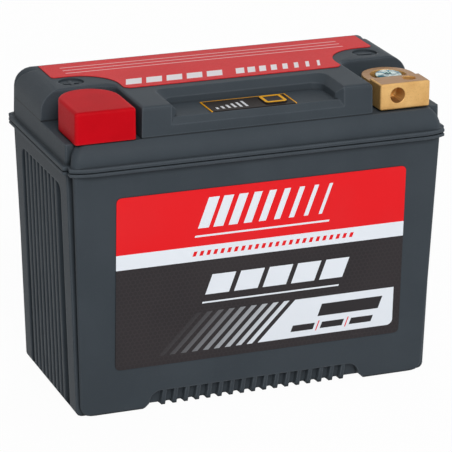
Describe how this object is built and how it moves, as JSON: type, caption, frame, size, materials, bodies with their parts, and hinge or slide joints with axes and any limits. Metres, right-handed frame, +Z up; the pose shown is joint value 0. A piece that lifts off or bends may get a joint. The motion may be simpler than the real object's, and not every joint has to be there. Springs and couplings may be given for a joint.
{
  "type": "motorcycle battery",
  "caption": "Sealed lithium motorcycle battery: drafted ribbed case, moulded cover with pocketed brass lug terminals, lift-off terminal cap and charge indicator with test button.",
  "frame": {"origin": "centre of the base, on the surface that the feet stand on", "axes": "+X along the length towards the negative terminal, -Y towards the labelled front, +Z up"},
  "size_m": [0.166, 0.086, 0.1305],
  "materials": {
    "shell": "fine satin moulding",
    "brass": "cast and machined",
    "zinc_screw": "bright zinc plate",
    "cap": "satin",
    "label": "printed film",
    "overlay": "printed film",
    "pouch": "laminated foil",
    "foam": "closed-cell foam",
    "tape": "glass-cloth tape",
    "copper": "tinned copper",
    "board": "solder mask",
    "package": "moulded epoxy",
    "socket": "nylon",
    "lens": "clear lens",
    "spring_steel": "pressed",
    "lead": "sleeved"
  },
  "bodies": {
    "battery": {"case": "shell", "cover": "shell", "negative_terminal": "brass", "positive_terminal": "brass", "negative_insert": "brass", "positive_insert": "brass", "negative_terminal_screw": "zinc_screw", "positive_terminal_screw": "zinc_screw", "front_label": "label", "top_label": "label", "indicator_overlay": "overlay", "cell_1": "pouch", "cell_2": "pouch", "cell_3": "pouch", "cell_4": "pouch", "cell_separator_1": "foam", "cell_separator_2": "foam", "cell_separator_3": "foam", "side_pad_front": "foam", "side_pad_back": "foam", "base_pad": "foam", "cell_band_lower": "tape", "cell_band_upper": "tape", "tab_link_1": "copper", "tab_link_2": "copper", "tab_link_3": "copper", "positive_busbar": "copper", "negative_busbar": "copper", "management_board": "board", "indicator_board": "board", "board_fet_1": "package", "board_fet_2": "package", "board_fet_3": "package", "board_fet_4": "package", "board_connector": "socket", "indicator_led_1": "lens", "indicator_led_2": "lens", "indicator_led_3": "lens", "indicator_led_4": "lens", "indicator_led_5": "lens", "indicator_led_6": "lens", "dome_switch": "spring_steel", "indicator_lead": "lead"},
    "terminal_cap": {"positive_terminal_cap": "cap"},
    "test_button": {"test_button": "overlay"}
  },
  "joints": [
    {"name": "cap_lift", "type": "slide", "parent": "battery", "child": "terminal_cap", "axis": [0, 0, 1], "range_m": [0, 0.03]},
    {"name": "test_press", "type": "slide", "parent": "battery", "child": "test_button", "axis": [0, 0, -1], "range_m": [0, 0.0004], "stiffness_N_per_m": 2500, "springref_m": -0.0004}
  ]
}
